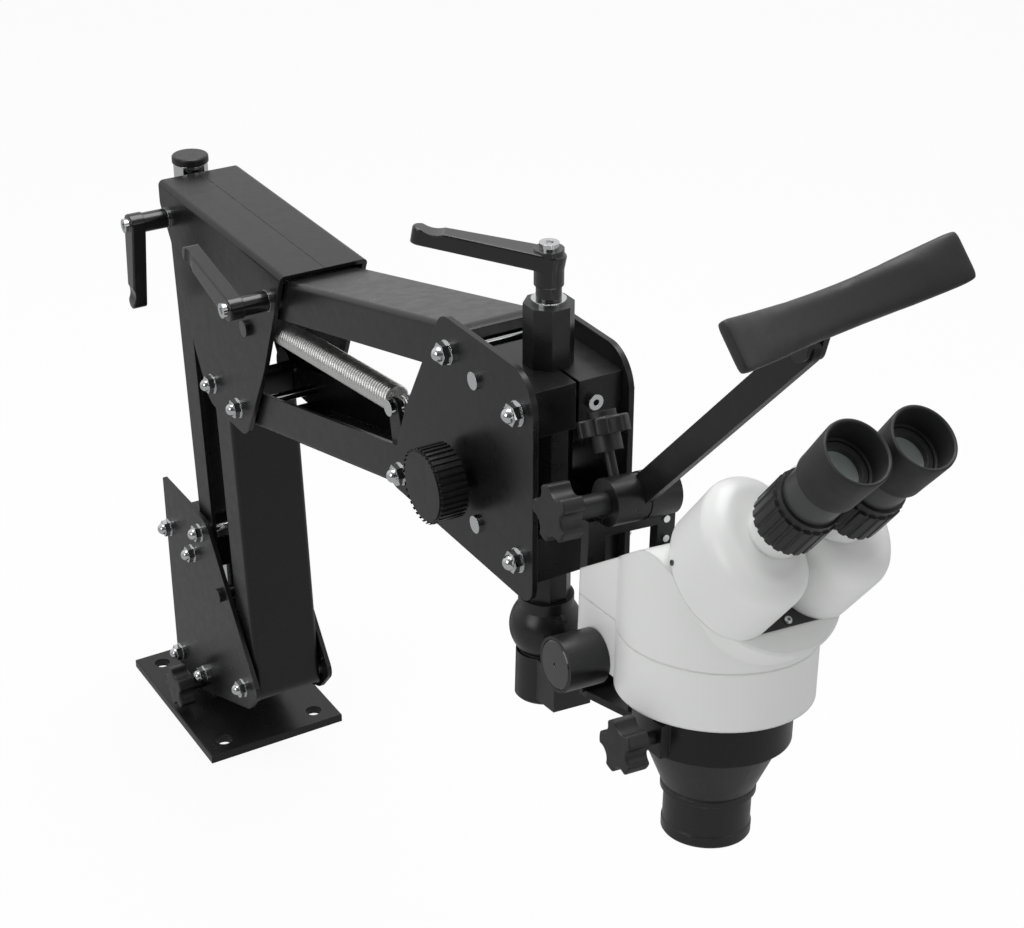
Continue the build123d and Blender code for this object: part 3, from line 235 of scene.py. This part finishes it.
wear_group.links.new(edge_only.outputs["Result"], worn_patches.inputs[0])
wear_group.links.new(patchy.outputs["Result"], worn_patches.inputs[1])
wear_group.links.new(worn_patches.outputs[0], group_out.inputs["Mask"])

dust_group, group_in, group_out = effect_group("settled_dust", (("Amount", 0.3),), "Mask")
facing = dust_group.nodes.new("ShaderNodeNewGeometry")
split_facing = dust_group.nodes.new("ShaderNodeSeparateXYZ")
dust_group.links.new(facing.outputs["Normal"], split_facing.inputs[0])
upward = dust_group.nodes.new("ShaderNodeMapRange")
upward.inputs["From Min"].default_value = 0.6
upward.inputs["From Max"].default_value = 1.0
dust_group.links.new(split_facing.outputs["Z"], upward.inputs["Value"])
place_on_part = dust_group.nodes.new("ShaderNodeTexCoord")
specks = dust_group.nodes.new("ShaderNodeTexNoise")
specks.inputs["Scale"].default_value = 700.0
specks.inputs["Detail"].default_value = 6.0
dust_group.links.new(place_on_part.outputs["Object"], specks.inputs["Vector"])
upward_specks = dust_group.nodes.new("ShaderNodeMath")
upward_specks.operation = "MULTIPLY"
dust_group.links.new(upward.outputs["Result"], upward_specks.inputs[0])
dust_group.links.new(specks.outputs["Fac"], upward_specks.inputs[1])
thin_dust = dust_group.nodes.new("ShaderNodeMath")
thin_dust.operation = "MULTIPLY"
dust_group.links.new(upward_specks.outputs[0], thin_dust.inputs[0])
dust_group.links.new(group_in.outputs["Amount"], thin_dust.inputs[1])
dust_group.links.new(thin_dust.outputs[0], group_out.inputs["Mask"])


def effect(tree, group, **values):
    """Places a group in a material with its own values."""
    placed = tree.nodes.new("ShaderNodeGroup")
    placed.node_tree = group
    for label, value in values.items():
        placed.inputs[label].default_value = value
    return placed.outputs[0]


def mix_colour(tree, mask, under, over):
    """Colour going from under to over as the mask rises; under may be a socket."""
    mixer = tree.nodes.new("ShaderNodeMix")
    mixer.data_type = "RGBA"
    sockets = {s.identifier: s for s in mixer.inputs}
    tree.links.new(mask, sockets["Factor_Float"])
    if isinstance(under, bpy.types.NodeSocket):
        tree.links.new(under, sockets["A_Color"])
    else:
        sockets["A_Color"].default_value = (*under, 1)
    sockets["B_Color"].default_value = (*over, 1)
    return next(s for s in mixer.outputs if s.identifier == "Result_Color")


dust_grey = (0.42, 0.41, 0.39)


def finish(
    name, colour, gloss, grain=(1500.0, 0.02), rounding=0.0005, worn=None, dust=0.25, shade=0.12,
    **plain
):
    """Finish with cloudy colour and gloss, rounded edges, fine grain, worn edges and dust.

    gloss is the lowest and highest roughness; grain is its scale and depth in millimetres;
    shade is how far the colour drifts; plain sets the shader's own sockets by name.
    """
    made = bpy.data.materials.new(name)
    made.use_nodes = True
    tree = made.node_tree
    shader = tree.nodes["Principled BSDF"]
    for label, value in plain.items():
        shader.inputs[label.replace("_", " ")].default_value = value
    drift = effect(tree, clouds_group, Scale=35.0)
    paler = tuple(min(1.0, c * (1 + shade)) for c in colour)
    darker = tuple(c * (1 - shade) for c in colour)
    tone = mix_colour(tree, drift, darker, paler)
    if worn:
        tone = mix_colour(tree, effect(tree, wear_group, Radius=rounding * 1.6), tone, worn)
    if dust:
        tone = mix_colour(tree, effect(tree, dust_group, Amount=dust), tone, dust_grey)
    tree.links.new(tone, shader.inputs["Base Color"])
    smears = tree.nodes.new("ShaderNodeMapRange")
    smears.inputs["From Min"].default_value = 0.35
    smears.inputs["From Max"].default_value = 0.65
    smears.inputs["To Min"].default_value = gloss[0]
    smears.inputs["To Max"].default_value = gloss[1]
    tree.links.new(effect(tree, clouds_group, Scale=140.0), smears.inputs["Value"])
    tree.links.new(smears.outputs["Result"], shader.inputs["Roughness"])
    edges = tree.nodes.new("ShaderNodeBevel")
    edges.samples = 4
    edges.inputs["Radius"].default_value = rounding
    relief = tree.nodes.new("ShaderNodeBump")
    relief.inputs["Distance"].default_value = grain[1] * 0.001
    tree.links.new(effect(tree, grain_group, Scale=grain[0]), relief.inputs["Height"])
    tree.links.new(edges.outputs["Normal"], relief.inputs["Normal"])
    tree.links.new(relief.outputs["Normal"], shader.inputs["Normal"])
    return made


def coat(material, *names):
    """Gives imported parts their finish."""
    for name in names:
        for place in nodes[name].material_slots:
            place.material = material


powder_coat = finish(
    "black_powder_coat", (0.0075, 0.0075, 0.008), (0.27, 0.33), grain=(1800.0, 0.012),
    rounding=0.0006, worn=(0.05, 0.05, 0.05), dust=0.03, Specular_IOR_Level=0.4,
)
coat(
    powder_coat, "base_plate", "bracket_plates", "bracket_blocks", "lower_front_link",
    "lower_rear_link", "elbow_covers", "top_link", "bottom_link", "front_plates", "guide_blocks",
)

# Column, bolts, nuts, washers and small screws: turned steel, ground and bright chrome-plated.
# The plate is even, with faint dust and a fine grind under it.
chrome = finish(
    "bright_chrome", (0.72, 0.73, 0.74), (0.05, 0.1), grain=(500.0, 0.002), rounding=0.0003,
    dust=0.02, shade=0.03, Metallic=1.0,
)
coat(
    chrome, "column", "bracket_bolts", "elbow_bolts", "front_bolts", "spring_bolt",
    "sleeve_washer", "top_lever_screw", "holder_screws",
)

# Column cap: a pressed-on plug of hard black plastic with a moulded matt skin.
# The focus knob, the zoom knobs and the ribbed dioptre rings are moulded in the same plastic.
hard_plastic = finish(
    "hard_black_plastic", (0.009, 0.009, 0.0095), (0.3, 0.38), grain=(2600.0, 0.01),
    rounding=0.0004, dust=0.04,
)
coat(hard_plastic, "column_cap", "focus_knob", "zoom_knobs", "dioptre_near", "dioptre_far")

# Support collar: a turned steel ring held by a set screw in its side.
# The pinion of the focus drive is cut from the same bar.
turned_steel = finish(
    "turned_steel", (0.55, 0.55, 0.53), (0.2, 0.32), grain=(900.0, 0.004), rounding=0.0004,
    dust=0.05, shade=0.06, Metallic=1.0,
)
coat(turned_steel, "support_collar", "pinion")

# Lobed knobs: moulded black plastic over a steel insert, matt from spark-eroded moulds.
# The ball's seat and the notch plate have the same dull black skin.
grip = finish(
    "moulded_grip", (0.011, 0.011, 0.0115), (0.36, 0.46), grain=(2200.0, 0.02), rounding=0.0008,
    dust=0.05,
)
coat(grip, "lock_knob", "ring_knob", "hinge_knob", "stud_knob", "ball_seat", "notch_strip")


# Balance springs: music wire wound close, each end bent up into a hook round its pin.
# The wire is nickel bright and a little dulled, and the turns stand just apart under load.
wire, coil_r = 0.0022, 0.0069
coil_pitch = wire * 1.22
steps_per_turn, hook_steps = 14, 24
hook_angle, hook_bend = 300, 0.55


def wound_spring(name, start, end, rear_gap, front_gap, rear_eye, front_eye):
    """Close-wound extension spring from one pin to the other, as a swept wire.

    The gaps lie between each pin and the first turn; the eyes are the hooks' inner radii.
    """
    side = Vector((0, 1, 0))
    along = (end - start).normalized()
    up = side.cross(along).normalized()
    wound_length = (end - start).length - rear_gap - front_gap
    turns = wound_length / coil_pitch
    steps = int(turns * steps_per_turn)
    path = []

    def hook(pin, eye, first_angle, numbers):
        reach = eye + wire / 2
        for step in numbers:
            turn = math.radians(first_angle + hook_angle * step / hook_steps)
            path.append(pin + along * reach * math.cos(turn) - up * reach * math.sin(turn))

    hook(start, rear_eye, 40, range(hook_steps))
    path.append(start + along * (rear_gap * hook_bend))
    for step in range(steps + 1):
        turn = 2 * math.pi * turns * step / steps
        height = rear_gap + wound_length * step / steps
        path.append(
            start + along * height + (up * math.cos(turn) + side * math.sin(turn)) * coil_r
        )
    path.append(end - along * (front_gap * hook_bend))
    hook(end, front_eye, -140, range(1, hook_steps + 1))
    curve = bpy.data.curves.new(name, "CURVE")
    curve.dimensions = "3D"
    curve.bevel_depth = wire / 2
    curve.bevel_resolution = 2
    spline = curve.splines.new("POLY")
    spline.points.add(len(path) - 1)
    for point, place in zip(spline.points, path):
        point.co = (*place, 1)
    shaped = bpy.data.objects.new(name + "_line", curve)
    bpy.context.collection.objects.link(shaped)
    wound = bpy.data.meshes.new_from_object(
        shaped.evaluated_get(bpy.context.evaluated_depsgraph_get())
    )
    bpy.data.objects.remove(shaped)
    for face in wound.polygons:
        face.use_smooth = True
    piece = bpy.data.objects.new(name, wound)
    bpy.context.collection.objects.link(piece)
    return piece


def dress(piece, material, body):
    """Gives a modelled piece its finish and its body."""
    piece.data.materials.clear()
    piece.data.materials.append(material)
    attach(piece, body)
    return piece


wire_steel = finish(
    "nickel_wire", (0.8, 0.8, 0.79), (0.3, 0.4), grain=(1500.0, 0.004), rounding=0.0002,
    dust=0.0, shade=0.12, Metallic=1.0,
)
low_anchor = Vector((0.0543, 0, 0.1216))
low_pin = Vector((0.01878, 0, 0.32090))
lower_coils = wound_spring("lower_spring_coils", low_anchor, low_pin, 0.014, 0.010, 0.005, 0.0025)
lower_coils.data.materials.append(wire_steel)
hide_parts("lower_spring")
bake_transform(lower_coils)

up_anchor = Vector((0.1289, -0.014, 0.3483))
up_pin = Vector((0.30299, -0.014, 0.36901))
upper_coils = wound_spring("upper_spring_coils", up_anchor, up_pin, 0.011, 0.008, 0.003, 0.003)
upper_coils.data.materials.append(wire_steel)
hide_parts("upper_spring")
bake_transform(upper_coils)

# Clamp levers: cast zinc handles with a thumb hollow, stove-enamelled gloss black.
gloss_enamel = finish(
    "gloss_black_enamel", (0.006, 0.006, 0.0065), (0.16, 0.22), grain=(300.0, 0.006),
    rounding=0.001, worn=(0.06, 0.06, 0.06), dust=0.02, Coat_Weight=0.4, Coat_Roughness=0.1,
)
coat(gloss_enamel, "rear_lever", "front_lever", "top_lever", "upper_anchor")

# Focusing rack: a strip of cut steel teeth, screwed to the sleeve.
# It is dark from the thin oil that is kept on it.
oiled_steel = finish(
    "oiled_rack", (0.32, 0.31, 0.29), (0.22, 0.36), grain=(1200.0, 0.006), rounding=0.0002,
    dust=0.0, shade=0.15, Metallic=1.0,
)
coat(oiled_steel, "rack")

# Focusing sleeve, ball collar and objective barrel: turned aluminium, anodised satin black.
# Their sharp edges are rubbed to bare metal in places.
anodised = finish(
    "black_anodised", (0.011, 0.011, 0.012), (0.26, 0.34), grain=(1600.0, 0.006),
    rounding=0.0004, worn=(0.1, 0.1, 0.1), dust=0.03,
)
coat(anodised, "sleeve", "socket_collar", "barrel", "ball_post", "pad_clevis")

# Holder arm, ring, headrest frame and bar: bent and milled steel, bolted together.
# They have the stand's powder coat.
coat(powder_coat, "holder_arm", "scope_ring", "headrest_frame", "headrest_arm", "pad_plate")

# Head housings: die-cast shells, filled, rubbed down and sprayed a smooth off-white enamel.
# The paint is even, a little softer in gloss where it is handled.
enamel = finish(
    "off_white_enamel", (0.78, 0.79, 0.78), (0.3, 0.36), grain=(450.0, 0.004),
    rounding=0.0018, dust=0.0, shade=0.008, Coat_Weight=0.2, Coat_Roughness=0.2,
)
coat(enamel, "lower_housing", "upper_housing", "prism_near", "prism_far")

# Everything on the ball joint shares the head's frame, leaned back and to the far side.
lean_back, lean_side = math.radians(5.0), math.radians(4.5)
head_x = Vector(
    (
        math.cos(lean_back),
        math.sin(lean_back) * math.sin(lean_side),
        math.sin(lean_back) * math.cos(lean_side),
    )
)
head_z = Vector(
    (
        -math.sin(lean_back),
        math.cos(lean_back) * math.sin(lean_side),
        math.cos(lean_back) * math.cos(lean_side),
    )
)
head_y = head_z.cross(head_x)
head = Matrix.Translation((0.4255, 0, 0.2935)) @ Matrix(
    (
        (head_x.x, head_y.x, head_z.x),
        (head_x.y, head_y.y, head_z.y),
        (head_x.z, head_y.z, head_z.z),
    )
).to_4x4()


# Zoom knob ends: turned discs, lacquered and polished, let into the knobs, each with the
# small hole of its set screw.
def lathe(name, profile, place, segments=64):
    """Turned piece about Z from (radius, height) pairs in millimetres, put in its place."""
    shape = bmesh.new()
    rings = []
    for r, z in profile:
        ring = []
        for k in range(segments if r else 1):
            turn = 2 * math.pi * k / segments
            point = Vector((r * math.cos(turn), r * math.sin(turn), z)) * 0.001
            ring.append(shape.verts.new(place @ point))
        rings.append(ring)
    for low, high in zip(rings, rings[1:]):
        for k in range(segments):
            n = (k + 1) % segments
            if len(low) == 1:
                shape.faces.new((low[0], high[n], high[k]))
            elif len(high) == 1:
                shape.faces.new((low[k], low[n], high[0]))
            else:
                shape.faces.new((low[k], low[n], high[n], high[k]))
    bmesh.ops.recalc_face_normals(shape, faces=shape.faces)
    mesh = bpy.data.meshes.new(name)
    shape.to_mesh(mesh)
    shape.free()
    mesh.shade_smooth()
    mesh.set_sharp_from_angle(angle=math.radians(35))
    piece = bpy.data.objects.new(name, mesh)
    bpy.context.collection.objects.link(piece)
    return piece


polished_black = finish(
    "polished_black_lacquer", (0.012, 0.012, 0.013), (0.06, 0.12), grain=(300.0, 0.003),
    rounding=0.0003, dust=0.03, Coat_Weight=0.6, Coat_Roughness=0.05,
)
for side, side_name in ((-1, "near"), (1, "far")):
    disc_place = (
        head
        @ Matrix.Translation((0.0991, side * 0.0570, 0.0345))
        @ Matrix.Rotation(math.radians(-90 * side), 4, "X")
    )
    disc = lathe(
        "zoom_disc_" + side_name,
        ((0, 0.05), (11.5, 0.05), (11.5, 0.25), (11.0, 0.7), (1.2, 0.75), (1.0, 0.3), (0, 0.3)),
        disc_place,
    )
    dress(disc, polished_black, "zoom_knobs")

# Eyepieces: grey satin tubes in black ribbed rings, with soft rubber cups pushed over them.
grey_satin = finish(
    "grey_satin_plastic", (0.045, 0.046, 0.047), (0.3, 0.38), grain=(1500.0, 0.008),
    rounding=0.0004, dust=0.03,
)
coat(grey_satin, "tube_near", "tube_far")
rubber = finish(
    "soft_black_rubber", (0.012, 0.012, 0.0125), (0.5, 0.62), grain=(1800.0, 0.02),
    rounding=0.0008, dust=0.06, Sheen_Weight=0.05,
)
sloping_face = (
    head @ Matrix.Translation((0.1749, 0, 0.0964)) @ Matrix.Rotation(math.radians(42.0), 4, "Y")
)
for side, side_name in ((-1, "near"), (1, "far")):
    eye_place = sloping_face @ Matrix.Translation((-0.0050, side * 0.0167, 0.0496))
    cup = lathe(
        "eyecup_" + side_name + "_rubber",
        (
            (12.35, 35.4), (13.8, 35.4), (14.2, 35.9), (14.3, 40.0), (14.9, 53.0), (15.1, 58.6),
            (14.9, 59.6), (14.2, 59.9), (13.5, 59.4), (13.4, 58.0), (13.35, 47.2), (12.6, 46.6),
            (12.35, 46.4), (12.35, 35.4),
        ),
        eye_place,
    )
    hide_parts("eyecup_" + side_name)
    dress(cup, rubber, "eyepiece_" + side_name)

# Small screws of the head: the chrome one on the notch plate, and a dark set screw low in the
# wall of the near prism housing.
plate_screw = lathe(
    "notch_plate_screw",
    ((0, 0.3), (1.9, 0.3), (1.9, 0.9), (1.5, 1.3), (0.8, 1.35), (0.7, 0.8), (0, 0.8)),
    sloping_face @ Matrix.Translation((0.0206, 0, 0)),
)
dress(plate_screw, chrome, "scope")
set_screw = lathe(
    "prism_set_screw_near",
    ((0, -0.6), (1.3, -0.6), (1.3, 0.15), (1.0, 0.2), (0.7, -0.2), (0, -0.2)),
    sloping_face
    @ Matrix.Translation((-0.0055, -0.0078, 0.002))
    @ Matrix.Rotation(math.radians(-106.0), 4, "Z")
    @ Matrix.Translation((0.0373, 0, 0))
    @ Matrix.Rotation(math.radians(90), 4, "Y"),
    24,
)
dress(set_screw, polished_black, "prism_near")


# Lenses: ground glass with a painted coating glint in its colour, pink at its edge and green in
# its middle.
def painted_glint_glass(name, straight, slanted):
    """Glass with a painted coating glint: one tint straight on and another at a slant, set in its
    own colour.
    """
    made = bpy.data.materials.new(name)
    made.use_nodes = True
    tree = made.node_tree
    shader = tree.nodes["Principled BSDF"]
    shader.inputs["IOR"].default_value = 1.55
    shader.inputs["Transmission Weight"].default_value = 0.45
    slant = tree.nodes.new("ShaderNodeLayerWeight")
    slant.inputs["Blend"].default_value = 0.35
    # Painted reflection: the coating's glint is set in the glass's own colour, by how squarely
    # each point faces the camera.
    painted_glint_tint = mix_colour(tree, slant.outputs["Facing"], straight, slanted)
    tree.links.new(painted_glint_tint, shader.inputs["Base Color"])
    smear = tree.nodes.new("ShaderNodeMapRange")
    smear.inputs["To Min"].default_value = 0.01
    smear.inputs["To Max"].default_value = 0.06
    tree.links.new(effect(tree, clouds_group, Scale=120.0), smear.inputs["Value"])
    tree.links.new(smear.outputs["Result"], shader.inputs["Roughness"])
    return made


# Painted coating glints: the eye lenses green straight on and pink at a slant, the front lens blue
# and then purple.
eye_glass_painted_glint = painted_glint_glass("eye_lens_painted_glint", (0.5, 0.64, 0.58), (0.8, 0.55, 0.65))
front_glass_painted_glint = painted_glint_glass("front_lens_painted_glint", (0.2, 0.3, 0.45), (0.5, 0.3, 0.6))
coat(eye_glass_painted_glint, "lens_near", "lens_far")
coat(front_glass_painted_glint, "front_lens")

# Forehead pad: a curved foam block in black vinyl cloth, glued to its steel back plate.
# The vinyl is drawn over the foam: it starts as a slim block, 127 by 23 by 7 mm, and cloth
# pressure swells its faces, each point by 1.6 mm at most.
vinyl = finish(
    "black_vinyl_cloth", (0.012, 0.012, 0.0125), (0.45, 0.58), grain=(1300.0, 0.04),
    rounding=0.0008, dust=0.05, Sheen_Weight=0.08,
)
pad_place = (
    head
    @ Matrix.Translation((0.2068, 0, 0.2263))
    @ Matrix.Rotation(math.radians(-35.0), 4, "Y")
    @ Matrix.Rotation(math.radians(9.5), 4, "X")
)
pad_length, pad_height, pad_thick, pad_bend = 0.127, 0.0228, 0.0072, 0.15
pad_edge, pad_cuts, long_edge = 0.0024, 31, 0.05
flat_back, pad_shift = -0.0048, -0.0052
foam = bmesh.new()
bmesh.ops.create_cube(foam, size=1.0)
bmesh.ops.scale(foam, vec=(pad_thick, pad_length, pad_height), verts=foam.verts)
bmesh.ops.bevel(
    foam, geom=foam.edges[:], offset=pad_edge, segments=3, profile=0.5, affect="EDGES"
)
bmesh.ops.subdivide_edges(
    foam,
    edges=[e for e in foam.edges if e.calc_length() > long_edge],
    cuts=pad_cuts,
    use_grid_fill=True,
)
pad_mesh = bpy.data.meshes.new("forehead_pad")
foam.to_mesh(pad_mesh)
foam.free()
forehead_pad = bpy.data.objects.new("forehead_pad", pad_mesh)
bpy.context.collection.objects.link(forehead_pad)


def settled_mesh(piece):
    """The piece's mesh with its modifiers applied, which are then taken off."""
    bpy.context.view_layer.update()
    shaped = bpy.data.meshes.new_from_object(
        piece.evaluated_get(bpy.context.evaluated_depsgraph_get())
    )
    piece.modifiers.clear()
    return shaped


def swell(piece, voxel, pressure, furthest):
    """Swells a cushion by cloth pressure, each point by at most the furthest distance."""
    even = piece.modifiers.new("even_cloth", "REMESH")
    even.mode = "VOXEL"
    even.voxel_size = voxel
    piece.data = settled_mesh(piece)
    start = [v.co.copy() for v in piece.data.vertices]
    cloth = piece.modifiers.new("drawn_cloth", "CLOTH")
    cloth.settings.use_pressure = True
    cloth.settings.uniform_pressure_force = pressure
    cloth.settings.mass = 0.02
    cloth.settings.effector_weights.gravity = 0.0
    for frame_number in range(1, 21):
        scene.frame_set(frame_number)
    swollen = settled_mesh(piece)
    for vertex, before in zip(swollen.vertices, start):
        moved = vertex.co - before
        if moved.length > furthest:
            vertex.co = before + moved * (furthest / moved.length)
    piece.data = swollen
    finer = piece.modifiers.new("finer", "SUBSURF")
    finer.levels = 1
    piece.data = settled_mesh(piece)
    scene.frame_set(1)


swell(forehead_pad, voxel=0.0026, pressure=9.0, furthest=0.0016)
for vertex in forehead_pad.data.vertices:
    x, y, z = vertex.co
    bend = pad_bend - math.sqrt(pad_bend**2 - y * y)
    vertex.co = pad_place @ Vector((max(x, flat_back) + pad_shift + bend, y, z))
forehead_pad.data.shade_smooth()
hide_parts("pad")
dress(forehead_pad, vinyl, "headrest_pad")
